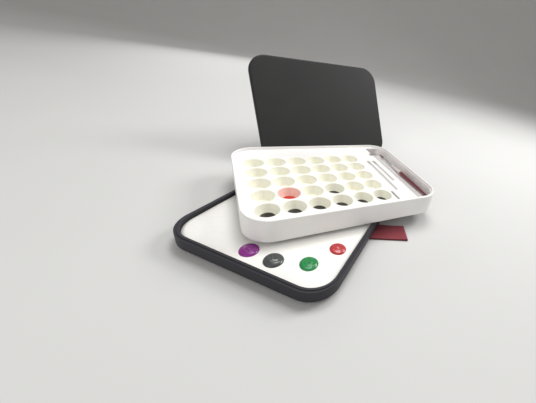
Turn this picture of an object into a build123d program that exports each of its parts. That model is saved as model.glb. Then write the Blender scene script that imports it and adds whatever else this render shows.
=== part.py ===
from build123d import *
import os
from math import cos, radians, sin

# Wet palette for hobby paints, opened out and set up for use.
# Millimetres. +Z is up. The origin is the centre of the base's footprint at table level,
# and the base's long side runs along X. The well tray lies askew on the base's rim, the lid
# stands behind them leaning back, and the elastic strap lies half under the base.

os.makedirs("parts", exist_ok=True)

# The box, closed: base, well tray and lid share one rounded rectangular outline
LENGTH = 285.0
WIDTH = 208.0
CORNER_R = 34.0

# Base
BASE_TOP = 21.0
FOOT_D = 14.0
FOOT_INSET = 27.0
FOOT_CLEARANCE = 0.48
BASE_WALL = 5.5
BASE_FLOOR = 2.6
BASE_BOTTOM_R = 3.5
LEDGE_DEPTH = 1.0
TONGUE_FIT = 0.3

# Foam and sheet inside the base
FOAM_THICK = 9.0
FOAM_GAP = 0.5
SHEET_THICK = 0.3
SHEET_GAP = 0.8
LAYER_GAP = 0.02

# Paint laid out on the sheet: name, distance from the base's left side, from its front, radius, height
BLOBS = [
    ("purple_paint", 25.1, 110.0, 11.0, 3.6),
    ("grey_paint", 25.2, 77.9, 11.2, 3.8),
    ("green_paint", 38.8, 42.1, 10.8, 3.6),
    ("red_paint", 75.4, 24.9, 10.4, 3.4),
]
# Shape of a blob, as shares of its radius and height
BLOB_SHOULDER_R = 0.80
BLOB_SHOULDER_Z = 0.62
BLOB_TIP_R = 0.12

# Well tray
TRAY_HEIGHT = 31.0
TRAY_WALL = 2.4
TRAY_RIM_R = 1.0
DECK_DROP = 4.4
DECK_THICK = 1.8
TRAY_X = 53.8
TRAY_Y = -9.2
TRAY_TURN = -42.0
TRAY_REST_GAP = 0.02

# Paint wells, five rows of six
WELL_ROWS = 5
WELL_COLUMNS = 6
WELL_PITCH = 32.0
WELL_TOP_R = 15.2
WELL_FLOOR_R = 8.8
WELL_STEP_R = 10.0
WELL_STEP = 0.4
WELL_STEP_RISE = 2.8
WELL_DEPTH = 12.2
WELL_LIP_R = 1.4
WELL_FLOOR_EDGE_R = 1.6
WELL_WALL = 1.8
WELL_CUP_TOP_R = 15.8
FIRST_COLUMN = 29.0
FIRST_ROW = 28.5

# Wells with paint in them: column, row, both counted from the tray's front left corner
DARK_WELLS = [(1, 1), (2, 1), (3, 1), (4, 1), (5, 1), (6, 1), (4, 2)]
RED_WELL = (2, 2)
POOL_DEPTH = 1.4
POOL_GAP = 0.05

# Brush trench along the tray's right end, and two brush rests beside it
TRENCH_WIDTH = 40.0
TRENCH_DEPTH = 14.0
TRENCH_SLOPE = 9.0
TRENCH_END_GAP = 7.0
TRENCH_SIDE_GAP = 1.0
TRENCH_WALL = 1.6
NOTCH_WIDTH = 5.0
NOTCH_LENGTH = 12.0
NOTCH_DEPTH = 6.0
NOTCH_Y = 64.0
REST_WIDTH = 6.0
REST_DEPTH = 2.4
REST_POCKET_DEPTH = 4.6
REST_POCKET_LENGTH = 13.0
REST_BACK = 38.0
# Each brush rest: distance from the trench's edge, length
RESTS = [(21.6, 106.0), (10.6, 78.0)]
SLOT_WIDTH = 4.0
SLOT_LENGTH = 24.0
SLOT_DEPTH = 3.2
SLOT_FROM_TRENCH = 33.1
SLOT_FRONT_GAP = 8.0
GROOVE_EDGE_R = 1.2

# The brush in the trench. Each part: distance from the handle's free end, radius there
HANDLE = [(0.0, 1.6), (3.5, 2.3), (41.0, 3.1), (85.0, 3.6), (106.0, 2.9), (118.0, 2.1)]
FERRULE = [(118.0, 2.25), (124.0, 2.45), (127.0, 2.1), (152.0, 1.5)]
BRISTLES = [(152.0, 1.4), (159.0, 1.65), (166.0, 0.8), (172.0, 0.25)]
BRUSH_LENGTH = 172.0
HANDLE_R = 3.6
BRUSH_FROM_WALL = 8.1
BRUSH_FLOOR_GAP = 0.3

# Lid
LID_HEIGHT = 9.0
LID_PLATE = 2.4
LID_WALL = 2.6
LID_TOP_R = 4.0
LID_TONGUE = 1.4
LID_TONGUE_DROP = 2.2
LID_FIT = 0.4
LID_FROM_BASE = 6.8
LID_ASIDE = 120.9
LID_TURN = -35.0
LID_LEAN = 30.0

# Elastic strap, lying flat and doubled
STRAP_LENGTH = 216.0
STRAP_WIDTH = 32.0
STRAP_THICK = 1.2
STRAP_SLIT = 0.2
STRAP_END_X = 27.4
STRAP_END_OUT = 43.1
STRAP_TURN = 63.5
LABEL_LENGTH = 40.0
LABEL_WIDTH = 20.0
LABEL_THICK = 0.5
LABEL_R = 3.0
SEAM_LENGTH = 14.0
SEAM_FROM_FOLD = 20.0
SEAM_INSET = 2.0
SEAM_THICK = 0.3

# How far a cutting shape runs past the face it opens, and an added one runs into what it joins
CLEAR = 1.0
BITE = 0.5

# Worked out from the sizes above
STRAP_HEIGHT = 2 * STRAP_THICK + STRAP_SLIT
FOOT_HEIGHT = STRAP_HEIGHT + LAYER_GAP + LABEL_THICK + FOOT_CLEARANCE
FLOOR_TOP = FOOT_HEIGHT + BASE_FLOOR
LEDGE_Z = BASE_TOP - LEDGE_DEPTH
FOAM_TOP = FLOOR_TOP + FOAM_THICK
SHEET_TOP = FOAM_TOP + LAYER_GAP + SHEET_THICK
DECK_TOP = TRAY_HEIGHT - DECK_DROP
DECK_BOTTOM = DECK_TOP - DECK_THICK
WELL_FLOOR_Z = DECK_TOP - WELL_DEPTH
TRENCH_FLOOR_Z = DECK_TOP - TRENCH_DEPTH
TRAY_INNER_X = LENGTH / 2 - TRAY_WALL
TRAY_INNER_Y = WIDTH / 2 - TRAY_WALL
TRENCH_RIGHT = TRAY_INNER_X - TRENCH_SIDE_GAP
TRENCH_LEFT = TRENCH_RIGHT - TRENCH_WIDTH
TRAY_PLACE = Location((TRAY_X, TRAY_Y, BASE_TOP + TRAY_REST_GAP), (0, 0, TRAY_TURN))
# The lid is modelled closed, open side down, then stood on its long edge and leant back. Its face
# stands LID_FROM_BASE behind the base's back right corner, and LID_ASIDE along from the origin.
LID_ACROSS = sin(radians(-LID_TURN))
LID_ALONG = cos(radians(LID_TURN))
BASE_REACH = (LENGTH / 2 - CORNER_R) * LID_ACROSS + (WIDTH / 2 - CORNER_R) * LID_ALONG + CORNER_R
LID_BACK = BASE_REACH + LID_FROM_BASE
LID_X = LID_BACK * LID_ACROSS + LID_ASIDE * LID_ALONG
LID_Y = LID_BACK * LID_ALONG - LID_ASIDE * LID_ACROSS
LID_LIFT = LID_HEIGHT * sin(radians(LID_LEAN))
LID_PLACE = Location((LID_X, LID_Y, LID_LIFT), (0, 0, LID_TURN)) * Rot(-LID_LEAN, 0, 0)
STRAP_PLACE = Location((STRAP_END_X, -WIDTH / 2 - STRAP_END_OUT, 0), (0, 0, 180 - STRAP_TURN))


def slab(length, width, radius, low, high):
    """Rounded rectangular slab centred on the Z axis, from height low to height high."""
    outline = RectangleRounded(length, width, radius)
    return extrude(Pos(0, 0, low) * outline, high - low)


def inset_slab(inset, low, high):
    """Slab of the box's outline, drawn in by inset all round."""
    return slab(LENGTH - 2 * inset, WIDTH - 2 * inset, CORNER_R - inset, low, high)


def edges_at(solid, height):
    return solid.edges().filter_by_position(Axis.Z, height - 0.01, height + 0.01)


def make_base():
    shell = inset_slab(0, FOOT_HEIGHT, BASE_TOP)
    shell = fillet(edges_at(shell, FOOT_HEIGHT), BASE_BOTTOM_R)
    shell -= inset_slab(BASE_WALL, FLOOR_TOP, BASE_TOP + CLEAR)
    # the outside of the rim steps down, which leaves a tongue for the tray's skirt to close over
    tongue = inset_slab(TRAY_WALL + TONGUE_FIT, LEDGE_Z, BASE_TOP + CLEAR)
    shell -= inset_slab(-CLEAR, LEDGE_Z, BASE_TOP + CLEAR) - tongue
    foot_x = LENGTH / 2 - FOOT_INSET
    foot_y = WIDTH / 2 - FOOT_INSET
    for x in (-foot_x, foot_x):
        for y in (-foot_y, foot_y):
            shell += Pos(x, y, (FOOT_HEIGHT + BITE) / 2) * Cylinder(FOOT_D / 2, FOOT_HEIGHT + BITE)
    return shell


def make_foam():
    return inset_slab(BASE_WALL + FOAM_GAP, FLOOR_TOP, FOAM_TOP)


def make_sheet():
    return inset_slab(BASE_WALL + SHEET_GAP, FOAM_TOP + LAYER_GAP, SHEET_TOP)


def make_blob(from_left, from_front, radius, height):
    """Low dome of paint, flat at the very top."""
    rim = (radius, 0)
    shoulder = (radius * BLOB_SHOULDER_R, height * BLOB_SHOULDER_Z)
    tip = (radius * BLOB_TIP_R, height)
    profile = Polyline((0, 0), rim) + ThreePointArc(rim, shoulder, tip) + Polyline(tip, (0, height), (0, 0))
    dome = revolve(Plane.XZ * make_face(profile), Axis.Z)
    return Pos(from_left - LENGTH / 2, from_front - WIDTH / 2, SHEET_TOP + LAYER_GAP) * dome


def well_centres():
    """Centres of the wells in the tray's own frame, row by row from the front."""
    centres = {}
    for row in range(WELL_ROWS):
        for column in range(WELL_COLUMNS):
            x = -LENGTH / 2 + FIRST_COLUMN + column * WELL_PITCH
            y = -WIDTH / 2 + FIRST_ROW + row * WELL_PITCH
            centres[column + 1, row + 1] = (x, y)
    return centres


def well_hollow(inset=0):
    """The space inside one well, or with an inset what fits in it: lip, tapering wall, step, flat floor."""
    floor_z = WELL_FLOOR_Z + inset
    step_z = WELL_FLOOR_Z + WELL_STEP_RISE + inset
    top_z = DECK_TOP + CLEAR
    lip_start = (WELL_TOP_R - WELL_LIP_R, DECK_TOP - WELL_LIP_R)
    lip_reach = WELL_LIP_R * cos(radians(45))
    lip_middle = (WELL_TOP_R - lip_reach, lip_start[1] + lip_reach)
    lip_end = (WELL_TOP_R, DECK_TOP)
    wall = Polyline(
        (0, floor_z),
        (WELL_FLOOR_R - inset, floor_z),
        (WELL_STEP_R - inset, step_z),
        (WELL_STEP_R + WELL_STEP - inset, step_z),
        lip_start,
    )
    top = Polyline(lip_end, (WELL_TOP_R, top_z), (0, top_z), (0, floor_z))
    outline = wall + ThreePointArc(lip_start, lip_middle, lip_end) + top
    hollow = revolve(Plane.XZ * make_face(outline), Axis.Z)
    return fillet(edges_at(hollow, floor_z), WELL_FLOOR_EDGE_R)


def well_cup():
    """The solid cup that hangs under the deck around one well."""
    low = WELL_FLOOR_Z - WELL_WALL
    high = DECK_TOP - BITE
    outline = Polyline(
        (0, low),
        (WELL_FLOOR_R + WELL_WALL, low),
        (WELL_CUP_TOP_R, DECK_BOTTOM),
        (WELL_CUP_TOP_R, high),
        (0, high),
        (0, low),
    )
    return revolve(Plane.XZ * make_face(outline), Axis.Z)


def trench_block(wall, low, high):
    """Trench space, or with a wall the block that carries it: sloped left side, rounded ends."""
    left = TRENCH_LEFT - wall
    right = TRENCH_RIGHT + wall
    section = Polyline((left, high), (left + TRENCH_SLOPE, low), (right, low), (right, high), (left, high))
    half = TRAY_INNER_Y - TRENCH_END_GAP + wall
    block = extrude(Plane.XZ * make_face(section), half, both=True)
    corner = CORNER_R - TRAY_WALL - TRENCH_END_GAP + wall
    return block & slab(2 * right, 2 * half, corner, low, high)


def finger_notch(wall):
    """A step cut beside the trench, where a fingertip gets under the brush, or its block with a wall."""
    width = 2 * NOTCH_WIDTH + wall
    low = DECK_TOP - NOTCH_DEPTH - wall
    high = DECK_TOP - BITE if wall else DECK_TOP + CLEAR
    notch = Box(width, NOTCH_LENGTH + 2 * wall, high - low)
    return Pos(TRENCH_LEFT - wall / 2, NOTCH_Y, (high + low) / 2) * notch


def groove(x, back, length, width, depth):
    """Round-ended groove with a rounded bottom, sunk to depth below the deck and running along Y."""
    outline = Pos(x, back - length / 2) * SlotOverall(length, width, rotation=90)
    trough = extrude(Pos(0, 0, DECK_TOP - depth) * outline, depth + CLEAR)
    return fillet(edges_at(trough, DECK_TOP - depth), GROOVE_EDGE_R)


def brush_rest(from_trench, length):
    """A shallow groove that a brush's handle rests in, with a deeper pocket at its back end."""
    x = TRENCH_LEFT - from_trench
    shallow = groove(x, REST_BACK, length, REST_WIDTH, REST_DEPTH)
    return shallow + groove(x, REST_BACK, REST_POCKET_LENGTH, REST_WIDTH, REST_POCKET_DEPTH)


def front_slot():
    front = -TRAY_INNER_Y + SLOT_FRONT_GAP
    return groove(TRENCH_LEFT - SLOT_FROM_TRENCH, front + SLOT_LENGTH, SLOT_LENGTH, SLOT_WIDTH, SLOT_DEPTH)


def rest_block():
    """The thickened deck under the brush rests and the front slot."""
    left = TRENCH_LEFT - SLOT_FROM_TRENCH - SLOT_WIDTH / 2 - TRENCH_WALL
    right = TRENCH_LEFT
    front = -TRAY_INNER_Y
    back = REST_BACK + TRENCH_WALL
    low = DECK_TOP - REST_POCKET_DEPTH - TRENCH_WALL
    high = DECK_TOP - BITE
    block = Box(right - left, back - front, high - low)
    return Pos((left + right) / 2, (front + back) / 2, (low + high) / 2) * block


def make_tray():
    """White moulding, open underneath: skirt, sunken deck, wells, brush rests and brush trench."""
    body = inset_slab(0, 0, TRAY_HEIGHT)
    body = fillet(edges_at(body, TRAY_HEIGHT), TRAY_RIM_R)
    body -= inset_slab(TRAY_WALL, DECK_TOP, TRAY_HEIGHT + CLEAR)
    body -= inset_slab(TRAY_WALL, -CLEAR, DECK_BOTTOM)
    cup = well_cup()
    hollow = well_hollow()
    places = [Pos(x, y, 0) for x, y in well_centres().values()]
    trench = trench_block(TRENCH_WALL, TRENCH_FLOOR_Z - TRENCH_WALL, DECK_TOP - BITE)
    body = body + [place * cup for place in places]
    body = body + [trench, finger_notch(TRENCH_WALL), rest_block()]
    body = body - [place * hollow for place in places]
    body = body - [trench_block(0, TRENCH_FLOOR_Z, DECK_TOP + CLEAR), finger_notch(0), front_slot()]
    body = body - [brush_rest(*rest) for rest in RESTS]
    return TRAY_PLACE * body


def make_pool(centre):
    """Paint standing in a well, just clear of its wall and floor."""
    x, y = centre
    surface = WELL_FLOOR_Z + POOL_DEPTH
    level = slab(2 * WELL_TOP_R, 2 * WELL_TOP_R, WELL_LIP_R, WELL_FLOOR_Z, surface)
    return TRAY_PLACE * Pos(x, y, 0) * (well_hollow(POOL_GAP) & level)


def brush_piece(stations):
    """A turned piece from (distance along the brush, radius) stations, laid along the trench."""
    first = stations[0][0]
    last = stations[-1][0]
    outline = [(0, first)] + [(radius, y) for y, radius in stations] + [(0, last), (0, first)]
    piece = revolve(make_face(Polyline(*outline)), Axis.Y)
    x = TRENCH_RIGHT - BRUSH_FROM_WALL
    z = TRENCH_FLOOR_Z + BRUSH_FLOOR_GAP + HANDLE_R
    return TRAY_PLACE * Pos(x, -BRUSH_LENGTH / 2, z) * piece


def make_lid():
    """Shallow lid with a rounded top edge, and a tongue that drops inside the tray's rim."""
    body = inset_slab(0, 0, LID_HEIGHT)
    body = fillet(edges_at(body, LID_HEIGHT), LID_TOP_R)
    under_plate = LID_HEIGHT - LID_PLATE
    body -= inset_slab(LID_WALL, -CLEAR, under_plate)
    tongue_out = TRAY_WALL + LID_FIT
    tongue = inset_slab(tongue_out, -LID_TONGUE_DROP, under_plate)
    tongue -= inset_slab(tongue_out + LID_TONGUE, -LID_TONGUE_DROP - CLEAR, under_plate)
    body += tongue
    # stand it up: the closed lid's front edge goes to the floor and its top faces the tray
    upright = Rot(90, 0, 0) * body
    return LID_PLACE * Pos(0, LID_HEIGHT, WIDTH / 2) * upright


def make_strap():
    """Flat elastic band, an endless loop lying doubled on the table, and what is sewn to it."""
    loop = extrude(Plane.XZ * SlotOverall(STRAP_LENGTH, STRAP_HEIGHT), STRAP_WIDTH / 2, both=True)
    loop -= Box(STRAP_LENGTH - 2 * STRAP_THICK, STRAP_WIDTH + CLEAR, STRAP_SLIT)
    band = Pos(STRAP_LENGTH / 2, 0, STRAP_HEIGHT / 2) * loop
    outline = RectangleRounded(LABEL_LENGTH, LABEL_WIDTH, LABEL_R)
    label = extrude(Pos(STRAP_LENGTH / 2, 0, STRAP_HEIGHT + LAYER_GAP) * outline, LABEL_THICK)
    seam = Box(SEAM_LENGTH, STRAP_WIDTH - 2 * SEAM_INSET, SEAM_THICK)
    seam = Pos(STRAP_LENGTH - SEAM_FROM_FOLD, 0, STRAP_HEIGHT + LAYER_GAP + SEAM_THICK / 2) * seam
    return STRAP_PLACE * band, STRAP_PLACE * label, STRAP_PLACE * seam


def main():
    pieces = {
        "base_tray": make_base(),
        "hydro_foam": make_foam(),
        "hydro_sheet": make_sheet(),
        "well_tray": make_tray(),
        "lid": make_lid(),
    }
    for name, from_left, from_front, radius, height in BLOBS:
        pieces[name] = make_blob(from_left, from_front, radius, height)
    centres = well_centres()
    for number, well in enumerate(DARK_WELLS, start=1):
        pieces[f"dark_pool_{number}"] = make_pool(centres[well])
    pieces["red_pool"] = make_pool(centres[RED_WELL])
    pieces["brush_handle"] = brush_piece(HANDLE)
    pieces["brush_ferrule"] = brush_piece(FERRULE)
    pieces["brush_bristles"] = brush_piece(BRISTLES)
    pieces["elastic_strap"], pieces["strap_label"], pieces["strap_seam"] = make_strap()
    for name, solid in pieces.items():
        export_step(solid, f"parts/{name}.step")


main()
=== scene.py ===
import math

import bmesh
import bpy
from mathutils import Matrix, Vector, noise


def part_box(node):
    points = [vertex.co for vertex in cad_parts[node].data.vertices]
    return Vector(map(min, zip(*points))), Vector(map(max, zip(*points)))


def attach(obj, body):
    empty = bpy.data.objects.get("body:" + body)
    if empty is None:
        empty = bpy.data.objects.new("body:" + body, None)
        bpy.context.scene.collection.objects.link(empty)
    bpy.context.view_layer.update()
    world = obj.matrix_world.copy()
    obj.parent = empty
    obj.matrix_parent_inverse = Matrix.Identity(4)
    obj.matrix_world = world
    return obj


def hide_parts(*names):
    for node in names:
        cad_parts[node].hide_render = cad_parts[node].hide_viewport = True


bl_info = {
    "name": "Wet Palette Finishes",
    "version": (1, 0, 0),
    "blender": (4, 5, 0),
    "location": "3D View > Sidebar > Wet Palette",
    "description": "Paint, paper, foam, brush, strap and plastic finishes for an opened wet palette",
    "category": "Object",
}

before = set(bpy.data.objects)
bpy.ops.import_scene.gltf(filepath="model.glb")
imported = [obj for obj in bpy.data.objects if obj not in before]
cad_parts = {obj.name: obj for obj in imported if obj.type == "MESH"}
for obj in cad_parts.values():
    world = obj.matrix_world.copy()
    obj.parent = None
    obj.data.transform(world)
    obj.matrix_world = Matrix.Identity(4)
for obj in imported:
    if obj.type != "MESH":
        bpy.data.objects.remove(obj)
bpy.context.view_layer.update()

# About how long a step is along the straight sides of the foam and the sheet, in metres
SIDE_STEP = 0.004
COLUMNS, ROWS = 6, 5
DARK_POOLS = tuple(f"dark_pool_{number}" for number in range(1, 8))

# Masks in the well tray's finish, in metres. Heights are from a well's floor.
# Painted warm glow of light bounced inside the wells: distances from a well's axis, at its floor, between
# which it fades out, and its lowest height
PAINTED_GLOW_FADE = (0.0092, 0.0104)
PAINTED_GLOW_LOWEST = -0.0005
# Painted shade in the brush rests and the trench: heights between which it fades out, and its lowest height
PAINTED_SHADE_FADE = (0.0110, 0.0118)
PAINTED_SHADE_LOWEST = -0.0022
# Strength of the painted shade from the brush rests' left end to the trench's right side: the slot, the
# rests, the trench's near side and its floor
PAINTED_SHADE_ACROSS = [(0.08, 1.0), (0.14, 0.5), (0.45, 0.5), (0.50, 0.9), (0.78, 0.9), (0.84, 0.2)]
# The skirt's rounded corners: their centre from the middle of the tray, and a radius just inside the skirt
CORNER_CENTRE = (0.1085, 0.070)
CORNER_INSIDE = 0.0312
# Faint grey-brown marks that handling leaves on the tray
HANDLING_MARKS = (0.62, 0.59, 0.55)


# ------------------------ sizes and colours

def length(name, text, default, low=0.0, high=1.0):
    """A size in metres."""
    return bpy.props.FloatProperty(
        name=name, description=text, default=default, min=low, max=high,
        precision=5, subtype="DISTANCE", unit="LENGTH",
    )


def turn(name, text, default):
    """An angle in radians, shown in degrees."""
    return bpy.props.FloatProperty(
        name=name, description=text, default=default, subtype="ANGLE", unit="ROTATION",
    )


def factor(name, text, default, low, high, subtype="NONE"):
    """A number between two limits."""
    return bpy.props.FloatProperty(
        name=name, description=text, default=default, min=low, max=high, subtype=subtype,
    )


def colour(name, text, default):
    """A colour as linear red, green and blue."""
    return bpy.props.FloatVectorProperty(
        name=name, description=text, default=default, size=3, min=0.0, max=1.0, subtype="COLOR",
    )


def point(name, text, default):
    """A place in the shared frame, in metres."""
    return bpy.props.FloatVectorProperty(
        name=name, description=text, default=default, size=3, subtype="TRANSLATION", unit="LENGTH",
    )


def direction(name, text, default):
    """A direction in the shared frame."""
    return bpy.props.FloatVectorProperty(
        name=name, description=text, default=default, size=3, subtype="DIRECTION",
    )


class MouldingSettings(bpy.types.PropertyGroup):
    """The three plastic mouldings."""
    base_colour: colour("Base", "Charcoal of the base moulding", (0.033, 0.032, 0.039))
    lid_colour: colour("Lid", "Dark grey of the lid", (0.026, 0.026, 0.026))
    tray_colour: colour("Tray", "White of the well tray", (0.90, 0.885, 0.865))
    # Painted warm glow of light bounced inside the wells
    painted_warm_glow: colour("Ivory", "Yellowed skin inside the wells", (0.89, 0.875, 0.74))
    # Painted pink light bounced from the red paint on to its well's walls
    painted_red_bounce: colour("Stain", "Pink film that red paint leaves inside its well", (0.92, 0.58, 0.51))
    # Painted shade in the slot, the brush rests and the trench
    wear_and_painted_shade: colour("Worn", "Greyed skin where brushes are laid and drawn out", (0.54, 0.51, 0.515))
    trench_right: length("Trench right", "From the first well's axis to the trench's right side", 0.2526)
    well_taper: factor("Well taper", "How much wider a well gets for its height", 0.43, 0.0, 2.0)
    grain: length("Grain", "Width of the texture that the mould leaves", 0.00045, 0.0001, 0.005)
    edge: length("Edge", "Radius to which sharp moulded edges are softened", 0.0005, 0.0, 0.005)


class SheetSettings(bpy.types.PropertyGroup):
    """The damp sheet and the foam under it."""
    paper_colour: colour("Paper", "Warm white of the damp sheet", (0.93, 0.915, 0.875))
    foam_colour: colour("Foam", "Colour of the wet foam", (0.70, 0.72, 0.66))
    corner: length("Corner", "Radius of the sheet's corners", 0.0277)
    ripple: length("Ripple", "How far the damp sheet cockles", 0.00022, 0.0, 0.002)
    paper_thickness: length("Paper thickness", "Thickness of the sheet", 0.00022, 0.00005, 0.001)
    pore: length("Pore", "Width of the foam's pores", 0.0011, 0.0002, 0.005)


class PaintSettings(bpy.types.PropertyGroup):
    """Blobs on the sheet and pools in the wells."""
    purple: colour("Purple", "Purple blob", (0.245, 0.018, 0.235))
    grey: colour("Grey", "Dark grey blob", (0.052, 0.058, 0.056))
    green: colour("Green", "Green blob", (0.004, 0.225, 0.052))
    red: colour("Red", "Red blob", (0.46, 0.028, 0.034))
    dark_wash: colour("Dark wash", "Near black paint in the wells", (0.012, 0.010, 0.008))
    red_wash: colour("Red wash", "Red paint in one well", (0.62, 0.045, 0.025))
    lobes: factor(
        "Unevenness", "How far a blob's edge strays from a circle, as a share of its radius",
        0.028, 0.0, 0.2, "FACTOR",
    )


class BrushSettings(bpy.types.PropertyGroup):
    """The brush that lies in the trench."""
    tray_turn: turn("Tray turn", "How far the well tray is turned on the base", math.radians(-42.0))
    start: point("Start", "Place of the handle's free end", (0.093607, -0.160766, 0.03752))
    handle_colour: colour("Handle", "Red lacquer of the handle", (0.15, 0.012, 0.024))
    band_colour: colour("Band", "Bronze line where the two lacquers meet", (0.42, 0.22, 0.10))
    pale_colour: colour("Pale end", "Pale lacquer on the handle beside the ferrule", (0.70, 0.62, 0.62))
    metal_colour: colour("Ferrule", "Nickel plated ferrule", (0.80, 0.79, 0.77))
    hair_colour: colour("Bristles", "Brown sable hair", (0.15, 0.060, 0.022))
    handle_radius: length("Handle radius", "Widest radius of the handle", 0.0036)
    neck_radius: length("Neck radius", "Radius of the handle where the ferrule starts", 0.0021)
    handle_length: length("Handle length", "Length of the handle", 0.118)
    ferrule_length: length("Ferrule length", "Length of the ferrule", 0.034)
    brush_length: length("Brush length", "Length from the handle's end to the tip", 0.172)


class StrapSettings(bpy.types.PropertyGroup):
    """The elastic strap, an endless band lying doubled."""
    red: colour("Band", "Crimson yarn", (0.27, 0.016, 0.032))
    edge_red: colour("Edge", "Darker selvedge", (0.12, 0.004, 0.010))
    patch: colour("Patch", "Blank rubber patch", (0.34, 0.40, 0.47))
    width: length("Width", "Width of the band", 0.032)
    thickness: length("Thickness", "Thickness of one layer", 0.0011)
    flat_length: length("Flat length", "Length of the doubled band", 0.2158)
    heading: turn("Heading", "Direction from the open end to the far end", math.radians(116.5))
    ribs: bpy.props.IntProperty(
        name="Ribs", description="Rubber cords across the width", default=15, min=3, max=60,
    )
    bulge: length("Bulge", "Extra height where the free end folds back", 0.0007, 0.0, 0.01)


class StageSettings(bpy.types.PropertyGroup):
    """Floor, lights and camera."""
    floor_colour: colour("Floor", "Pale floor", (0.62, 0.62, 0.61))
    lens: factor("Lens", "Focal length in millimetres", 17.441, 1.0, 200.0, "DISTANCE_CAMERA")
    shift: bpy.props.FloatVectorProperty(
        name="Shift", description="Lens shift across and up, as a share of the frame's width",
        default=(-0.22178, -0.03249), size=2,
    )
    eye: point("Eye", "Place of the camera", (-0.29347, -0.16930, 0.24623))
    right: direction("Right", "Direction to the right of the view", (0.30034, -0.93445, 0.19130))
    down: direction("Down", "Direction down the view", (-0.40275, -0.30604, -0.86263))


# ------------------------ node material helpers

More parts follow.
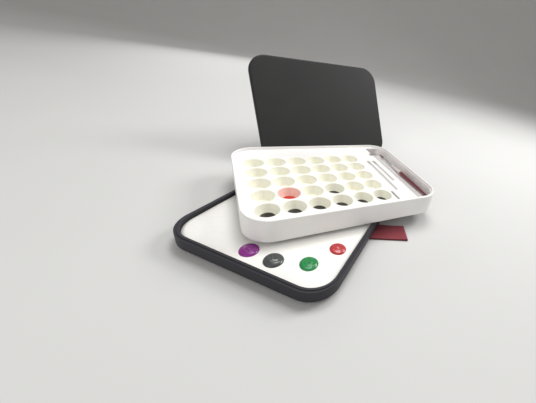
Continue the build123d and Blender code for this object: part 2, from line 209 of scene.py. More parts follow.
class Finish:
    """A node material with a Principled shader, built up one step at a time."""

    def __init__(self, name):
        self.material = bpy.data.materials.new(name)
        self.material.use_nodes = True
        self.tree = self.material.node_tree
        self.shader = self.tree.nodes["Principled BSDF"]
        self.coords = self.node("ShaderNodeTexCoord").outputs["Object"]
        self.normal = None

    def feed(self, socket, value):
        """Links another node's output to a socket, or sets a number, a vector or a colour on it."""
        if isinstance(value, bpy.types.NodeSocket):
            self.tree.links.new(value, socket)
        else:
            socket.default_value = (*value, 1.0) if socket.type == "RGBA" else value

    def node(self, kind, sockets=None, **options):
        """Adds a node with the given options and fills its sockets by name."""
        made = self.tree.nodes.new(kind)
        for name, value in options.items():
            setattr(made, name, value)
        for name, value in (sockets or {}).items():
            self.feed(made.inputs[name], value)
        return made

    def set(self, **values):
        """Sets plain numbers on the shader's own sockets."""
        for name, value in values.items():
            self.shader.inputs[name.replace("_", " ")].default_value = value
        return self

    def mapped(self, stretch=None, turned=0.0, moved=None):
        """The object's own coordinates, stretched, then turned about the vertical, then moved."""
        if not (stretch or turned or moved):
            return self.coords
        return self.node("ShaderNodeMapping", {
            "Vector": self.coords, "Scale": stretch or (1.0, 1.0, 1.0),
            "Rotation": (0.0, 0.0, turned), "Location": moved or (0.0, 0.0, 0.0),
        }).outputs["Vector"]

    def noise(self, cell, detail=4.0, rough=0.55, stretch=None, distortion=0.0):
        """Noise whose features are about cell metres across."""
        return self.node("ShaderNodeTexNoise", {
            "Vector": self.mapped(stretch), "Scale": 1.0 / cell, "Detail": detail,
            "Roughness": rough, "Distortion": distortion,
        }).outputs["Fac"]

    def pores(self, cell):
        """Distance from the middle of the nearest pore, the pores being about cell metres across."""
        sockets = {"Vector": self.coords, "Scale": 1.0 / cell}
        return self.node("ShaderNodeTexVoronoi", sockets, feature="F1").outputs["Distance"]

    def waves(self, cell, distortion, turned):
        """Waves across the direction that turned brings on to x, for threads cell metres apart."""
        sockets = {"Vector": self.mapped(turned=turned), "Scale": 0.5 / cell, "Distortion": distortion}
        return self.node("ShaderNodeTexWave", sockets, bands_direction="X").outputs["Fac"]

    def ramp(self, value, stops):
        """Turns a value into a colour or a grey by stops of (position, shade)."""
        made = self.node("ShaderNodeValToRGB", {"Fac": value})
        elements = made.color_ramp.elements
        while len(elements) < len(stops):
            elements.new(0.5)
        for element, (position, shade) in zip(elements, stops):
            element.position = position
            element.color = (*shade, 1.0) if hasattr(shade, "__len__") else (shade, shade, shade, 1.0)
        return made.outputs["Color"]

    def range(self, value, low, high, start=0.0, end=1.0):
        """Carries a value from the span start to end over to the span low to high."""
        return self.node("ShaderNodeMapRange", {
            "Value": value, "From Min": start, "From Max": end, "To Min": low, "To Max": high,
        }).outputs["Result"]

    def parts(self, vector):
        """The three parts of a vector."""
        return tuple(self.node("ShaderNodeSeparateXYZ", {"Vector": vector}).outputs)

    def math(self, operation, *values):
        """One step of arithmetic on numbers and nodes' outputs."""
        made = self.node("ShaderNodeMath", operation=operation)
        for socket, value in zip(made.inputs, values):
            self.feed(socket, value)
        return made.outputs["Value"]

    def product(self, first, *others):
        """All the values multiplied together."""
        for other in others:
            first = self.math("MULTIPLY", first, other)
        return first

    def distance(self, *sides):
        """How long a line is that goes so far along each of two sides of a square corner."""
        return self.math("SQRT", self.math("ADD", *(self.math("POWER", side, 2.0) for side in sides)))

    def mix(self, share, first, second):
        """A colour that goes from the first to the second with the share."""
        made = self.node("ShaderNodeMix", data_type="RGBA", blend_type="MIX")
        sockets = {socket.identifier: socket for socket in made.inputs}
        for name, value in (("Factor_Float", share), ("A_Color", first), ("B_Color", second)):
            self.feed(sockets[name], value)
        return next(socket for socket in made.outputs if socket.identifier == "Result_Color")

    def colour(self, shade):
        """Gives the surface its colour."""
        self.feed(self.shader.inputs["Base Color"], shade)
        return self

    def tones(self, value, base, dark, light, stops):
        """Colours the surface from darker to lighter than its base, through two stops or three."""
        low, high = shades(base, dark, light)
        tints = (low, high) if len(stops) == 2 else (low, base, high)
        return self.colour(self.ramp(value, list(zip(stops, tints))))

    def roughness(self, value, low, high, start=0.3, end=0.7):
        """Lets the roughness follow a value, from low to high."""
        self.feed(self.shader.inputs["Roughness"], self.range(value, low, high, start, end))
        return self

    def soft_edges(self, radius):
        """Softens sharp moulded edges in the shading."""
        self.normal = self.node("ShaderNodeBevel", {"Radius": radius}, samples=6).outputs["Normal"]
        self.feed(self.shader.inputs["Normal"], self.normal)
        return self

    def bump(self, height, distance, strength=1.0):
        """Adds relief of the given depth in metres on top of what is there."""
        sockets = {"Height": height, "Distance": distance, "Strength": strength}
        if self.normal is not None:
            sockets["Normal"] = self.normal
        self.normal = self.node("ShaderNodeBump", sockets).outputs["Normal"]
        self.feed(self.shader.inputs["Normal"], self.normal)
        return self


def shades(base, dark, light):
    """A darker and a lighter neighbour of a colour."""
    low = tuple(c * dark for c in base)
    high = tuple(min(1.0, c * light) for c in base)
    return low, high


# ------------------------ finishes

def moulded_plastic(name, base, settings, gloss, scuffs):
    """Injection moulded plastic: fine mould grain, soft sink marks, paler and rougher scuffs, and softened
    edges.
    """
    finish = Finish(name)
    low, high = shades(base, 0.93, 1.05)
    cloud = finish.noise(0.045, 3.0, 0.5)
    tint = finish.ramp(cloud, [(0.35, low), (0.65, high)])
    scratch = finish.noise(0.006, 6.0, 0.7, stretch=(1.0, 0.06, 1.0), distortion=0.4)
    wear_and_painted_shade = finish.range(scratch, 0.0, scuffs, 0.66, 0.74)
    scuffed = tuple(min(1.0, c * 1.5 + 0.02) for c in base)
    finish.colour(finish.mix(wear_and_painted_shade, tint, scuffed))
    rough = finish.math("ADD", finish.range(cloud, gloss - 0.04, gloss + 0.05, 0.3, 0.7), wear_and_painted_shade)
    finish.feed(finish.shader.inputs["Roughness"], rough)
    finish.set(IOR=1.5, Specular_IOR_Level=0.22)
    finish.soft_edges(settings.edge)
    finish.bump(finish.noise(settings.grain, 2.0, 0.6), 0.00003, 0.55)
    return finish.bump(finish.noise(0.03, 1.0, 0.4), 0.00012, 0.35).material


def tray_plastic(settings):
    """White polystyrene with a satin skin, and painted light and shade: a warm glow in the wells, pink
    bounce light in the red one, shade in the brush rests and the trench.
    """
    finish = Finish("white_moulding")
    low, high = shades(settings.tray_colour, 0.965, 1.02)
    cloud = finish.noise(0.05, 4.0, 0.5)
    tint = finish.ramp(cloud, [(0.35, low), (0.65, high)])
    marks = finish.range(finish.noise(0.011, 5.0, 0.62), 0.0, 0.10, 0.62, 0.78)
    tint = finish.mix(marks, tint, HANDLING_MARKS)
    patchy = finish.range(finish.noise(0.006, 4.0, 0.6, distortion=0.8), 0.75, 1.0, 0.35, 0.65)
    # Painted light and shade, mottled: warm glow in the wells, pink bounce light in the red well, shade in
    # the rests and the trench
    painted_tints = (settings.painted_warm_glow, settings.painted_red_bounce, settings.wear_and_painted_shade)
    for mask, skin in zip(tray_masks(finish, settings), painted_tints):
        tint = finish.mix(finish.product(mask, patchy), tint, skin)
    finish.colour(tint)
    finish.roughness(cloud, 0.30, 0.40)
    finish.set(IOR=1.5, Specular_IOR_Level=0.45, Subsurface_Weight=0.06, Subsurface_Scale=0.002)
    finish.soft_edges(settings.edge)
    finish.bump(finish.noise(settings.grain * 1.4, 2.0, 0.5), 0.00002, 0.35)
    return finish.bump(finish.noise(0.04, 1.0, 0.4), 0.00012, 0.3).material


def tray_masks(finish, settings):
    """Masks for the tray's painted light and shade: inside every well, inside the red one, and in the brush
    rests and the trench.
    """
    nodes = ("dark_pool_1", "dark_pool_6", "red_pool", "well_tray")
    first, last, red, tray = (sum(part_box(node), Vector()) / 2 for node in nodes)
    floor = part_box("dark_pool_1")[0].z
    # x runs along a row of wells from the first well's axis, y across the rows
    pitch = (last - first).length / (COLUMNS - 1)
    turn_back = -math.atan2(last.y - first.y, last.x - first.x)
    to_grid = Matrix.Rotation(turn_back, 4, "Z")
    x, y, height = finish.parts(finish.mapped(turned=turn_back, moved=-(to_grid @ first)))
    height = finish.math("ADD", height, first.z - floor)

    from_axis = finish.distance(*(finish.math("WRAP", value, pitch / 2, -pitch / 2) for value in (x, y)))
    cone = finish.math("SUBTRACT", from_axis, finish.math("MULTIPLY", height, settings.well_taper))
    # Painted warm glow: inside every well's cone, within the grid of wells, above the well's floor
    wells = finish.product(
        finish.range(cone, 1.0, 0.0, *PAINTED_GLOW_FADE),
        finish.math("COMPARE", x, (COLUMNS - 1) / 2 * pitch, COLUMNS / 2 * pitch),
        finish.math("COMPARE", y, (ROWS - 1) / 2 * pitch, ROWS / 2 * pitch),
        finish.math("GREATER_THAN", height, PAINTED_GLOW_LOWEST),
    )
    red = to_grid @ (red - first)
    # Painted red bounce light: the warm glow's mask, in the red well only
    red_well = finish.product(
        wells,
        finish.math("COMPARE", x, red.x, pitch / 2),
        finish.math("COMPARE", y, red.y, pitch / 2),
    )

    rests_left = (COLUMNS - 0.5) * pitch
    middle = to_grid @ (tray - first)
    past_end = finish.math("SUBTRACT", x, middle.x + CORNER_CENTRE[0])
    aside = finish.math("ABSOLUTE", finish.math("SUBTRACT", y, middle.y))
    past_side = finish.math("SUBTRACT", aside, CORNER_CENTRE[1])
    from_corner = finish.distance(*(finish.math("MAXIMUM", past, 0.0) for past in (past_end, past_side)))
    # Painted shade across the slot, the brush rests and the trench, below the deck
    grooves = finish.product(
        finish.ramp(finish.range(x, 0.0, 1.0, rests_left, settings.trench_right), PAINTED_SHADE_ACROSS),
        finish.math("GREATER_THAN", x, rests_left),
        finish.math("LESS_THAN", from_corner, CORNER_INSIDE),
        finish.range(height, 1.0, 0.0, *PAINTED_SHADE_FADE),
        finish.math("GREATER_THAN", height, PAINTED_SHADE_LOWEST),
    )
    return wells, red_well, grooves


def damp_paper(settings):
    """Greaseproof sheet, damp, with fibres and a soft sheen."""
    finish = Finish("damp_sheet")
    low, high = shades(settings.paper_colour, 0.955, 1.03)
    soaked = tuple(c * 0.90 for c in settings.paper_colour)
    fibres = finish.noise(0.0016, 8.0, 0.75, stretch=(1.0, 0.35, 1.0), distortion=1.2)
    damp = finish.noise(0.034, 3.0, 0.5)
    tint = finish.ramp(fibres, [(0.38, low), (0.62, high)])
    finish.colour(finish.mix(finish.range(damp, 0.0, 0.16, 0.45, 0.7), tint, soaked))
    finish.roughness(damp, 0.52, 0.34, 0.4, 0.65)
    finish.set(IOR=1.45, Sheen_Weight=0.1, Sheen_Roughness=0.5)
    return finish.bump(fibres, 0.00004, 0.6).material


def wet_foam(settings):
    """Open-cell foam, soaked."""
    finish = Finish("wet_foam")
    pores = finish.pores(settings.pore)
    finish.tones(pores, settings.foam_colour, 0.55, 1.1, (0.1, 0.55, 0.9))
    finish.roughness(finish.noise(0.02), 0.35, 0.6)
    finish.bump(pores, 0.0004, 0.9)
    return finish.bump(finish.noise(0.0004, 3.0), 0.0001, 0.5).material


def wet_paint(name, base):
    """Thick acrylic straight from the bottle, with streaks of pigment under a wet skin."""
    finish = Finish(name)
    streaks = finish.noise(0.0042, 5.0, 0.6, stretch=(1.0, 0.55, 1.0), distortion=1.8)
    finish.tones(streaks, base, 0.72, 1.28, (0.30, 0.5, 0.72))
    finish.roughness(streaks, 0.24, 0.38)
    finish.set(IOR=1.48, Coat_Weight=0.5, Coat_Roughness=0.12, Coat_IOR=1.4)
    return finish.bump(finish.noise(0.0035, 3.0, 0.5, distortion=1.0), 0.00008, 0.5).material


def thin_paint(name, base):
    """Thinned paint, settled and level, a little uneven in tone."""
    finish = Finish(name)
    settled = finish.noise(0.005, 4.0, 0.6, distortion=1.2)
    finish.tones(settled, base, 0.7, 1.5, (0.35, 0.7))
    finish.roughness(settled, 0.07, 0.16)
    finish.set(IOR=1.36, Coat_Weight=0.5, Coat_Roughness=0.03)
    return finish.bump(finish.noise(0.004, 2.0), 0.00006, 0.4).material


def lacquered_wood(name, base):
    """Lacquer over turned wood: the grain barely prints through."""
    finish = Finish(name)
    grain = finish.noise(0.0012, 6.0, 0.6, distortion=0.8)
    finish.tones(grain, base, 0.78, 1.22, (0.3, 0.55, 0.8))
    finish.roughness(grain, 0.20, 0.30)
    finish.set(IOR=1.5, Coat_Weight=1.0, Coat_Roughness=0.16)
    return finish.bump(grain, 0.00002, 0.5).material


def bronze_line(settings):
    """Bronze foil where the handle's two lacquers meet."""
    finish = Finish("bronze_line")
    foil = finish.noise(0.0008, 4.0)
    finish.tones(foil, settings.band_colour, 0.8, 1.1, (0.35, 0.7))
    finish.roughness(foil, 0.25, 0.4)
    return finish.set(Metallic=1.0).bump(foil, 0.00001, 0.5).material


def drawn_metal(settings):
    """Nickel plated tube with fine drawing lines."""
    finish = Finish("ferrule_metal")
    lines = finish.noise(0.0005, 5.0, 0.7, stretch=(1.0, 0.15, 1.0))
    finish.tones(lines, settings.metal_colour, 0.82, 1.05, (0.3, 0.7))
    finish.roughness(lines, 0.20, 0.34)
    return finish.set(Metallic=1.0).bump(lines, 0.00001, 0.6).material


def sable_hair(settings):
    """Brown hair with a dry sheen."""
    finish = Finish("sable_hair")
    strands = finish.noise(0.0003, 5.0, 0.6)
    finish.tones(strands, settings.hair_colour, 0.4, 1.7, (0.35, 0.7))
    finish.roughness(strands, 0.35, 0.55)
    return finish.set(Sheen_Weight=0.3, Sheen_Roughness=0.4).bump(strands, 0.00005, 0.8).material


def woven_elastic(settings):
    """Crimson yarn over rubber cords: ribs along the band, a fine twill across them."""
    finish = Finish("woven_elastic")
    weave = finish.waves(0.00085, 0.6, -settings.heading)
    slub = finish.noise(0.0022, 5.0, 0.65)
    finish.tones(finish.product(weave, slub), settings.red, 0.62, 1.25, (0.05, 0.30, 0.6))
    finish.roughness(slub, 0.62, 0.85)
    finish.set(Sheen_Weight=0.35, Sheen_Roughness=0.45)
    finish.bump(weave, 0.00016, 0.8)
    return finish.bump(finish.noise(0.0004, 4.0, 0.7), 0.00008, 0.7).material


def selvedge(settings):
    """The band's edges and folds, tighter woven and darker."""
    finish = Finish("strap_selvedge")
    twist = finish.noise(0.0006, 5.0, 0.7)
    finish.tones(twist, settings.edge_red, 0.6, 1.4, (0.3, 0.7))
    finish.roughness(twist, 0.6, 0.85)
    return finish.set(Sheen_Weight=0.2).bump(twist, 0.00012, 0.9).material


def patch_rubber(settings):
    """Blank soft rubber patch with a matt skin."""
    finish = Finish("blank_patch")
    mottled = finish.noise(0.004, 4.0)
    finish.tones(mottled, settings.patch, 0.9, 1.08, (0.35, 0.65))
    finish.roughness(mottled, 0.5, 0.65)
    return finish.soft_edges(0.0002).bump(finish.noise(0.0005), 0.00004, 0.6).material


def floor_finish(settings):
    """Pale board, almost even."""
    finish = Finish("pale_floor")
    soft = finish.noise(0.30, 3.0, 0.5)
    finish.tones(soft, settings.floor_colour, 0.985, 1.01, (0.3, 0.7))
    finish.roughness(soft, 0.72, 0.82)
    return finish.bump(finish.noise(0.0025, 3.0), 0.00006, 0.3).material


# ------------------------ mesh helpers

def object_of(name, build, finishes):
    """Runs build on an empty bmesh and links the result as a smooth object, its faces turned outwards."""
    mesh = bpy.data.meshes.new(name)
    shape = bmesh.new()
    build(shape)
    bmesh.ops.recalc_face_normals(shape, faces=shape.faces)
    shape.to_mesh(mesh)
    shape.free()
    for finish in finishes:
        mesh.materials.append(finish)
    for polygon in mesh.polygons:
        polygon.use_smooth = True
    made = bpy.data.objects.new(name, mesh)
    bpy.context.scene.collection.objects.link(made)
    return made


def piece_of(name, build, finishes, body, node):
    """Makes an object that rides on a body and takes the place of a CAD node."""
    piece = object_of(name, build, finishes)
    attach(piece, body)
    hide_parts(node)
    return piece


def bridge(shape, first, second, closed=True, index=0):
    """Quads between two rows of vertices of the same length."""
    count = len(first)
    for i in range(count if closed else count - 1):
        j = (i + 1) % count
        shape.faces.new((first[i], first[j], second[j], second[i])).material_index = index


def fan(shape, row, tip):
    """Triangles between a closed row of vertices and one more."""
    for first, second in zip(row, row[1:] + row[:1]):
        shape.faces.new((first, second, tip))


def lathed(shape, stations, segments, place, section=None, materials=None):
    """A closed lathe-turned form: stations are (distance, radius), place carries it into position."""
    rows = []
    for distance, radius in stations:
        row = []
        for k in range(segments):
            angle = 2 * math.pi * k / segments
            reach = radius * (section(angle, distance) if section else 1.0)
            at = Vector((reach * math.cos(angle), distance, reach * math.sin(angle)))
            row.append(shape.verts.new(place @ at))
        rows.append(row)
    for i, (first, second) in enumerate(zip(rows, rows[1:])):
        bridge(shape, first, second, index=materials[i] if materials else 0)
    for end in (0, -1):
        fan(shape, rows[end], shape.verts.new(place @ Vector((0, stations[end][0], 0))))


def eased(points, steps):
    """A smooth line through (x, y) points, by Catmull-Rom spans of the given number of steps."""
    def between(p, q, r, s, t):
        square = (2 * p - 5 * q + 4 * r - s) * t ** 2
        cube = (3 * q - p - 3 * r + s) * t ** 3
        return 0.5 * (2 * q + (r - p) * t + square + cube)

    padded = [points[0]] + list(points) + [points[-1]]
    line = []
    for span in zip(padded, padded[1:], padded[2:], padded[3:]):
        line += [tuple(between(*ends, k / steps) for ends in zip(*span)) for k in range(steps)]
    line.append(tuple(points[-1]))
    return line


def rounded_outline(half_x, half_y, radius, per_corner):
    """Points round a rounded rectangle, anticlockwise, with the straight sides divided too."""
    points = []
    for corner in range(4):
        sign_x = 1 if corner in (0, 3) else -1
        sign_y = 1 if corner < 2 else -1
        for k in range(per_corner + 1):
            angle = math.pi / 2 * (corner + k / per_corner)
            points.append((
                sign_x * (half_x - radius) + radius * math.cos(angle),
                sign_y * (half_y - radius) + radius * math.sin(angle),
            ))
    dense = []
    for (x0, y0), (x1, y1) in zip(points, points[1:] + points[:1]):
        parts = max(1, round(math.hypot(x1 - x0, y1 - y0) / SIDE_STEP))
        dense += [(x0 + (x1 - x0) * i / parts, y0 + (y1 - y0) * i / parts) for i in range(parts)]
    return dense


def layered_slab(shape, outline, rings, top, bottom, lift):
    """A thin slab in rings that shrink from its outline, its two faces moved by lift(x, y)."""
    def layer(height):
        rows = []
        for k in range(rings):
            share = 1 - k / rings
            shrunk = [(x * share, y * share) for x, y in outline]
            rows.append([shape.verts.new((x, y, height + lift(x, y))) for x, y in shrunk])
        for first, second in zip(rows, rows[1:]):
            bridge(shape, first, second)
        fan(shape, rows[-1], shape.verts.new((0, 0, height + lift(0, 0))))
        return rows[0]

    bridge(shape, layer(top), layer(bottom))


# ------------------------ operators, one for each piece or group

class PALETTE_OT_mouldings(bpy.types.Operator):
    """Finish the base, the lid and the well tray in their moulded plastics"""
    bl_idname = "palette.mouldings"
    bl_label = "Finish mouldings"

    def execute(self, context):
        settings = context.scene.palette_mouldings
        charcoal, grey = settings.base_colour, settings.lid_colour
        finishes = {
            "base_tray": moulded_plastic("charcoal_moulding", charcoal, settings, 0.52, 0.05),
            "lid": moulded_plastic("grey_moulding", grey, settings, 0.56, 0.05),
            "well_tray": tray_plastic(settings),
        }
        for node, material in finishes.items():
            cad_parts[node].data.materials.clear()
            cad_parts[node].data.materials.append(material)
        return {"FINISHED"}


class PALETTE_OT_foam(bpy.types.Operator):
    """Make the wet foam pad that fills the base"""
    bl_idname = "palette.foam"
    bl_label = "Add foam pad"

    def execute(self, context):
        settings = context.scene.palette_sheet
        low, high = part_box("hydro_foam")
        outline = rounded_outline((high.x - low.x) / 2, (high.y - low.y) / 2, settings.corner, 10)
        depth, width, clearance = 0.00015, 0.02, 0.0003

        def swell(x, y):
            return depth * (noise.noise(Vector((x, y, 0)) / width) - 1)

        def build(shape):
            layered_slab(shape, outline, 24, high.z, low.z + clearance, swell)

        foam = piece_of("foam_pad", build, [wet_foam(settings)], "base", "hydro_foam")
        return {"FINISHED"}


class PALETTE_OT_paper(bpy.types.Operator):
    """Lay the damp sheet on the foam"""
    bl_idname = "palette.paper"
    bl_label = "Lay sheet"

    def execute(self, context):
        settings = context.scene.palette_sheet
        low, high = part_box("hydro_sheet")
        half_x, half_y = (high.x - low.x) / 2, (high.y - low.y) / 2
        outline = rounded_outline(half_x, half_y, settings.corner, 12)
        curl_start, clearance = 0.93, 0.00008

        def cockle(x, y):
            wave = noise.noise(Vector((x * 0.7, y, 3.1)) / 0.028)
            wave += 0.5 * noise.noise(Vector((x, y, 1.7)) / 0.012)
            outwards = max(abs(x) / half_x, abs(y) / half_y)
            curl = max(0.0, (outwards - curl_start) / (1 - curl_start)) ** 2
            uneven = 1.6 + 1.2 * noise.noise(Vector((x, y, 8.0)) / 0.03)
            return settings.ripple * (wave * 0.8 + curl * uneven)

        def build(shape):
            bottom = low.z + clearance
            layered_slab(shape, outline, 44, bottom + settings.paper_thickness, bottom, cockle)

        paper = piece_of("damp_sheet", build, [damp_paper(settings)], "base", "hydro_sheet")
        return {"FINISHED"}


class PALETTE_OT_blobs(bpy.types.Operator):
    """Squeeze four blobs of paint on to the sheet"""
    bl_idname = "palette.blobs"
    bl_label = "Add paint blobs"

    def execute(self, context):
        settings = context.scene.palette_paint
        colours = {"purple_paint": settings.purple, "grey_paint": settings.grey,
                   "green_paint": settings.green, "red_paint": settings.red}
        for number, (node, tint) in enumerate(colours.items()):
            low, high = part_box(node)
            finish = wet_paint(f"wet_{node}", tint)
            piece_of(
                f"{node}_blob", lambda shape: self.blob(shape, low, high, number, settings.lobes),
                [finish], "base", node,
            )
        return {"FINISHED"}

    @staticmethod
    def blob(shape, low, high, number, lobes):
        """A domed drop with a soft foot, a peak off to one side and faint swirls left by the nozzle."""
        centre = (low + high) / 2
        radius = (high.x - low.x) / 2
        height = high.z - low.z
        pressed_in = 0.0001
        foot = low.z - pressed_in
        heading = 2.1 * number + 0.6
        peak_out = peak_width = peak_rise = 0.16
        peak_at = Vector((math.cos(heading), math.sin(heading))) * radius * peak_out
        segments, rings = 96, 34
        rows = []
        for k in range(1, rings):
            out = math.sin(k / (rings - 1) * math.pi / 2)
            dome = max(0.0, 1 - out ** 2.6) ** 0.5
            row = []
            for i in range(segments):
                angle = 2 * math.pi * i / segments
                wobble = sum(math.sin(n * angle + number * 1.7 * n) / n for n in (2, 3, 5))
                edge = radius * (1.0 - lobes + lobes * 0.55 * wobble)
                x = out * edge * math.cos(angle)
                y = out * edge * math.sin(angle)
                swirl = 0.14 * math.sin(14 * out - 2 * angle + number) * (1 - out) * out
                near = math.hypot(x - peak_at.x, y - peak_at.y) / radius
                peak = peak_rise * math.exp(-(near / peak_width) ** 2)
                z = foot + height * dome * (0.80 + swirl + peak)
                row.append(shape.verts.new((centre.x + x, centre.y + y, z)))
            rows.append(row)
        for first, second in zip(rows, rows[1:]):
            bridge(shape, first, second)
        top = sum(vertex.co.z for vertex in rows[0]) / segments
        fan(shape, rows[0], shape.verts.new((centre.x, centre.y, top)))
        fan(shape, rows[-1], shape.verts.new((centre.x, centre.y, foot)))


class PALETTE_OT_pools(bpy.types.Operator):
    """Stand thinned paint in eight of the wells"""
    bl_idname = "palette.pools"
    bl_label = "Fill wells"

    def execute(self, context):
        settings = context.scene.palette_paint
        dark = thin_paint("dark_wash", settings.dark_wash)
        red = thin_paint("red_wash", settings.red_wash)
        for node in DARK_POOLS + ("red_pool",):
            low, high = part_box(node)
            finish, slot = (red, "red_pool_paint") if node == "red_pool" else (dark, "dark_pool_paint")
            piece_of(
                f"{node}_liquid", lambda shape: self.pool(shape, low, high), [finish], "tray", node,
            )
        return {"FINISHED"}

    @staticmethod
    def pool(shape, low, high):
        """A level disc whose rim climbs the well's wall a little."""
        centre = (low + high) / 2
        reach = (high.x - low.x) / 2
        place = Matrix.Translation((centre.x, centre.y, 0)) @ Matrix.Rotation(math.pi / 2, 4, "X")
        rise = high.z - low.z
        dip = rise * 0.10
        # (height, radius) up the well's wall, then down from the clinging rim and in along the surface
        profile = [(low.z, reach * 0.77), (low.z + rise * 0.25, reach * 0.87)]
        profile += [(low.z + rise * 0.5, reach * 0.91), (high.z, reach)]
        profile += [(high.z - dip * (1 - 0.5 ** k), reach * (1 - 0.03 * k)) for k in range(1, 5)]
        profile += [(high.z - dip, reach * share) for share in (0.6, 0.3, 0.1)]
        lathed(shape, profile, 64, place)


class PALETTE_OT_brush(bpy.types.Operator):
    """Make the brush: handle in two lacquers, crimped ferrule, pointed hair"""
    bl_idname = "palette.brush"
    bl_label = "Add brush"

    def execute(self, context):
        settings = context.scene.palette_brush
        place = Matrix.Translation(settings.start) @ Matrix.Rotation(settings.tray_turn, 4, "Z")
        self.handle(settings, place)
        self.ferrule(settings, place)
        self.bristles(settings, place)
        return {"FINISHED"}

    @staticmethod
    def handle(settings, place):
        """Red lacquer for most of its length, a bronze line, then pale lacquer to the ferrule."""
        long, wide, neck = settings.handle_length, settings.handle_radius, settings.neck_radius
        stations = eased([
            (0.0, wide * 0.20), (long * 0.006, wide * 0.46), (long * 0.03, wide * 0.60),
            (long * 0.30, wide * 0.82), (long * 0.62, wide * 0.99), (long * 0.76, wide * 0.97),
            (long * 0.88, wide * 0.80), (long * 0.96, neck * 1.10), (long, neck * 0.99),
        ], 8)
        band_start, band_end = long * 0.70, long * 0.725
        materials = [(distance > band_start) + (distance > band_end) for distance, _ in stations]
        finishes = [
            lacquered_wood("red_lacquer", settings.handle_colour),
            bronze_line(settings),
            lacquered_wood("pale_lacquer", settings.pale_colour),
        ]
        piece_of(
            "handle", lambda shape: lathed(shape, stations, 48, place, materials=materials),
            finishes, "brush", "brush_handle",
        )

    @staticmethod
    def ferrule(settings, place):
        """A tube that tapers from the handle to the hair, with three rolled crimps."""
        start, long, neck = settings.handle_length, settings.ferrule_length, settings.neck_radius
        crimps, crimp_width, crimp_depth = (0.08, 0.15, 0.22), 0.012, 0.00016

        def radius(share):
            taper = neck * 1.10 * (1 - share) + neck * 0.70 * share
            pressed = sum(math.exp(-((share - at) / crimp_width) ** 2) for at in crimps)
            return taper - crimp_depth * pressed

        steps = 90
        stations = [(start + long * k / steps, radius(k / steps)) for k in range(steps + 1)]
        piece_of(
            "ferrule", lambda shape: lathed(shape, stations, 48, place),
            [drawn_metal(settings)], "brush", "brush_ferrule",
        )

    @staticmethod
    def bristles(settings, place):
        """Hair that swells a little out of the ferrule and comes to a point."""
        start = settings.handle_length + settings.ferrule_length
        long = settings.brush_length - start
        root = settings.neck_radius * 0.66
        stations = eased([
            (start, root), (start + long * 0.25, root * 1.14), (start + long * 0.45, root * 1.06),
            (start + long * 0.70, root * 0.62), (start + long * 0.90, root * 0.20),
            (start + long, root * 0.05),
        ], 10)

        def flutes(angle, distance):
            share = (distance - start) / long
            return 1 + 0.055 * math.sin(23 * angle + 5 * share) + 0.03 * math.sin(41 * angle - 9 * share)

        piece_of(
            "bristles", lambda shape: lathed(shape, stations, 180, place, flutes),
            [sable_hair(settings)], "brush", "brush_bristles",
        )


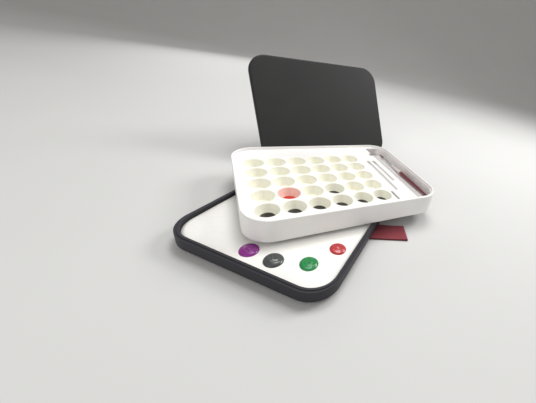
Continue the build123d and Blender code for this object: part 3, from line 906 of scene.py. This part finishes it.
class PALETTE_OT_strap(bpy.types.Operator):
    """Make the ribbed elastic band, its stitched seam and its blank patch"""
    bl_idname = "palette.strap"
    bl_label = "Add elastic strap"

    def execute(self, context):
        settings = context.scene.palette_strap
        low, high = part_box("elastic_strap")
        middle = (low + high) / 2
        place = Matrix.Translation((middle.x, middle.y, low.z)) @ Matrix.Rotation(settings.heading, 4, "Z")
        self.band(settings, place, high.z - low.z)
        self.seam(settings, place, high.z - low.z)
        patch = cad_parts["strap_label"]
        patch.data.materials.clear()
        patch.data.materials.append(patch_rubber(settings))
        return {"FINISHED"}

    @staticmethod
    def centreline(settings, height):
        """Closed line along the middle of the band's thickness, in the strap's own length and height."""
        half = settings.flat_length / 2
        bulge_reach = 0.016
        thick = settings.thickness
        low = thick / 2
        line = []
        runs, arcs = 110, 12

        def top(x):
            near = max(0.0, 1 - abs(x + half) / bulge_reach)
            return height - thick / 2 + settings.bulge * near ** 2 * (3 - 2 * near)

        for k in range(runs + 1):
            x = -half + height / 2 + (2 * half - height) * k / runs
            line.append((x, low))
        for end in (1, -1):
            x_end = end * (half - height / 2)
            upper = top(x_end)
            centre_z, radius = (low + upper) / 2, (upper - low) / 2
            for k in range(1, arcs):
                angle = -math.pi / 2 + math.pi * k / arcs
                line.append((x_end + end * (height / 2 - thick / 2) * math.cos(angle),
                             centre_z + end * radius * math.sin(angle)))
            if end == 1:
                for k in range(runs + 1):
                    x = half - height / 2 - (2 * half - height) * k / runs
                    line.append((x, top(x)))
        return line

    def band(self, settings, place, height):
        """A ribbed band carried along the centreline, with a selvedge down each edge."""
        line = self.centreline(settings, height)
        count = len(line)
        half_width = settings.width / 2
        across = 6 * settings.ribs
        valley, thin_edge, edge_width = 0.72, 0.35, 0.02

        def build(shape):
            outer, inner = [], []
            for i, (x, z) in enumerate(line):
                ahead, behind = line[(i + 1) % count], line[i - 1]
                tangent = Vector((ahead[0] - behind[0], 0, ahead[1] - behind[1])).normalized()
                normal = Vector((tangent.z, 0, -tangent.x))
                rows = []
                for side in (1, -1):
                    row = []
                    for j in range(across + 1):
                        share = 2 * j / across - 1
                        rib = 0.5 - 0.5 * math.cos(2 * math.pi * settings.ribs * j / across)
                        edge = min(1.0, (1 - abs(share)) / edge_width)
                        thick = settings.thickness / 2
                        thick *= valley + (1 - valley) * rib
                        thick *= thin_edge + (1 - thin_edge) * edge
                        at = Vector((x, share * half_width, z)) + normal * side * thick
                        row.append(shape.verts.new(place @ at))
                    rows.append(row)
                outer.append(rows[0])
                inner.append(rows[1])
            for i in range(count):
                j = (i + 1) % count
                for rows in (outer, inner):
                    bridge(shape, rows[i], rows[j], closed=False)
                for end in (0, -1):
                    quad = (outer[i][end], outer[j][end], inner[j][end], inner[i][end])
                    shape.faces.new(quad).material_index = 1
                for rows in (outer, inner):
                    for a, b in ((0, 1), (1, 2), (-2, -1), (-3, -2)):
                        face = shape.faces.get((rows[i][a], rows[i][b], rows[j][b], rows[j][a]))
                        face.material_index = 1

        finishes = [woven_elastic(settings), selvedge(settings)]
        band = piece_of("elastic_band", build, finishes, "strap", "elastic_strap")

    @staticmethod
    def seam(settings, place, height):
        """Two rows of zigzag stitches over the join of the band."""
        low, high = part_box("strap_seam")
        centre = place.inverted() @ ((low + high) / 2)
        span = settings.width * 0.42
        row_out, stitch_reach, stitches = 0.0042, 0.0022, 22
        thread, steps, corners = 0.00022, 6, 8
        level = height - settings.thickness * 0.02

        def build(shape):
            for row in (-1, 1):
                points = []
                for k in range(stitches + 1):
                    x = centre.x + row * row_out + (stitch_reach if k % 2 else -stitch_reach)
                    y = -span + 2 * span * k / stitches
                    points.append(Vector((x, y, level)))
                for start, end in zip(points, points[1:]):
                    side = (end - start).normalized().cross(Vector((0, 0, 1)))
                    rings = []
                    for share in (step / steps for step in range(steps + 1)):
                        arch = math.sin(math.pi * share)
                        at = start.lerp(end, share) + Vector((0, 0, thread * arch))
                        ring = []
                        for corner in range(corners):
                            angle = 2 * math.pi * corner / corners
                            reach = thread * (0.6 + 0.4 * arch)
                            offset = side * math.cos(angle) * reach + Vector((0, 0, math.sin(angle) * reach))
                            ring.append(shape.verts.new(place @ (at + offset)))
                        rings.append(ring)
                    for first, second in zip(rings, rings[1:]):
                        bridge(shape, first, second)
                    shape.faces.new(rings[0])
                    shape.faces.new(rings[-1])

        piece_of("zigzag_seam", build, [selvedge(settings)], "strap", "strap_seam")


class PALETTE_OT_stage(bpy.types.Operator):
    """Set the pale floor, the soft lights and the camera"""
    bl_idname = "palette.stage"
    bl_label = "Set stage"

    def execute(self, context):
        settings = context.scene.palette_stage
        self.floor(settings)
        self.lights()
        self.camera(context.scene, settings)
        return {"FINISHED"}

    @staticmethod
    def floor(settings):
        """A floor that sweeps up behind the object, square to the view."""
        heading = math.atan2(settings.right[0], -settings.right[1])
        place = Matrix.Rotation(heading, 4, "Z")
        flat, bend, tall = 1.8, 1.6, 4.0
        line = [(-3.0, 0.0), (0.0, 0.0), (flat, 0.0)]
        line += [(flat + bend * math.sin(t), bend - bend * math.cos(t))
                 for t in (math.pi / 2 * k / 24 for k in range(1, 25))]
        line.append((flat + bend, tall))

        def build(shape):
            sides = [[shape.verts.new(place @ Vector((x, y, z))) for x, z in line] for y in (-5.0, 5.0)]
            bridge(shape, sides[0], sides[1], closed=False)

        object_of("floor", build, [floor_finish(settings)])

    @staticmethod
    def lights():
        """Four square softboxes and an even, faintly warm sky."""
        middle = Vector((0.10, 0.0, 0.02))
        # name, place, size, power
        plan = [
            ("key_softbox", Vector((0.85, -0.75, 0.95)), 0.5, 10.0),
            ("top_softbox", Vector((0.45, 0.05, 1.45)), 0.6, 11.0),
            ("front_fill", Vector((-1.25, 0.15, 0.80)), 1.2, 6.0),
            ("back_softbox", Vector((1.00, 1.10, 0.60)), 0.8, 4.0),
        ]
        for name, at, size, power in plan:
            lamp = bpy.data.lights.new(name, "AREA")
            lamp.shape = "SQUARE"
            lamp.size = size
            lamp.energy = power
            light = bpy.data.objects.new(name, lamp)
            light.location = at
            light.rotation_euler = (middle - at).to_track_quat("-Z", "Y").to_euler()
            bpy.context.scene.collection.objects.link(light)
        world = bpy.data.worlds.new("studio")
        world.use_nodes = True
        sky = world.node_tree.nodes["Background"].inputs
        sky["Color"].default_value = (1.0, 0.98, 0.955, 1.0)
        sky["Strength"].default_value = 0.38
        bpy.context.scene.world = world

    @staticmethod
    def camera(scene, settings):
        """A shifted lens at the settings' place, set square to their directions."""
        lens = bpy.data.cameras.new("camera")
        lens.lens = settings.lens
        lens.sensor_width = 36.0
        lens.shift_x, lens.shift_y = settings.shift
        lens.clip_start = 0.01
        eye = bpy.data.objects.new("camera", lens)
        right = Vector(settings.right).normalized()
        up = -Vector(settings.down)
        up = (up - right * up.dot(right)).normalized()
        back = right.cross(up)
        axes = Matrix((right, up, back)).transposed()
        eye.matrix_world = Matrix.Translation(Vector(settings.eye)) @ axes.to_4x4()
        scene.collection.objects.link(eye)
        scene.camera = eye
        scene.view_settings.view_transform = "Standard"


class PALETTE_PT_panel(bpy.types.Panel):
    """Sizes, colours and the steps that build the palette's looks"""
    bl_idname = "PALETTE_PT_panel"
    bl_label = "Wet Palette"
    bl_space_type = "VIEW_3D"
    bl_region_type = "UI"
    bl_category = "Wet Palette"

    def draw(self, context):
        scene = context.scene
        for group, operators in STEPS:
            box = self.layout.box()
            settings = getattr(scene, group)
            for name in settings.bl_rna.properties.keys():
                if name not in ("rna_type", "name"):
                    box.prop(settings, name)
            for operator in operators:
                box.operator(operator.bl_idname)


STEPS = (
    ("palette_stage", (PALETTE_OT_stage,)),
    ("palette_mouldings", (PALETTE_OT_mouldings,)),
    ("palette_sheet", (PALETTE_OT_foam, PALETTE_OT_paper)),
    ("palette_paint", (PALETTE_OT_blobs, PALETTE_OT_pools)),
    ("palette_brush", (PALETTE_OT_brush,)),
    ("palette_strap", (PALETTE_OT_strap,)),
)
GROUPS = {
    "palette_stage": StageSettings,
    "palette_mouldings": MouldingSettings,
    "palette_sheet": SheetSettings,
    "palette_paint": PaintSettings,
    "palette_brush": BrushSettings,
    "palette_strap": StrapSettings,
}
OPERATORS = tuple(operator for _, operators in STEPS for operator in operators)
CLASSES = (*GROUPS.values(), *OPERATORS, PALETTE_PT_panel)


def register():
    for cls in CLASSES:
        bpy.utils.register_class(cls)
    for name, group in GROUPS.items():
        setattr(bpy.types.Scene, name, bpy.props.PointerProperty(type=group))


def unregister():
    for name in GROUPS:
        delattr(bpy.types.Scene, name)
    for cls in reversed(CLASSES):
        bpy.utils.unregister_class(cls)


def main():
    register()
    bpy.ops.palette.stage()
    bpy.ops.palette.mouldings()
    bpy.ops.palette.foam()
    bpy.ops.palette.paper()
    bpy.ops.palette.blobs()
    bpy.ops.palette.pools()
    bpy.ops.palette.brush()
    bpy.ops.palette.strap()


if __name__ == "__main__":
    main()
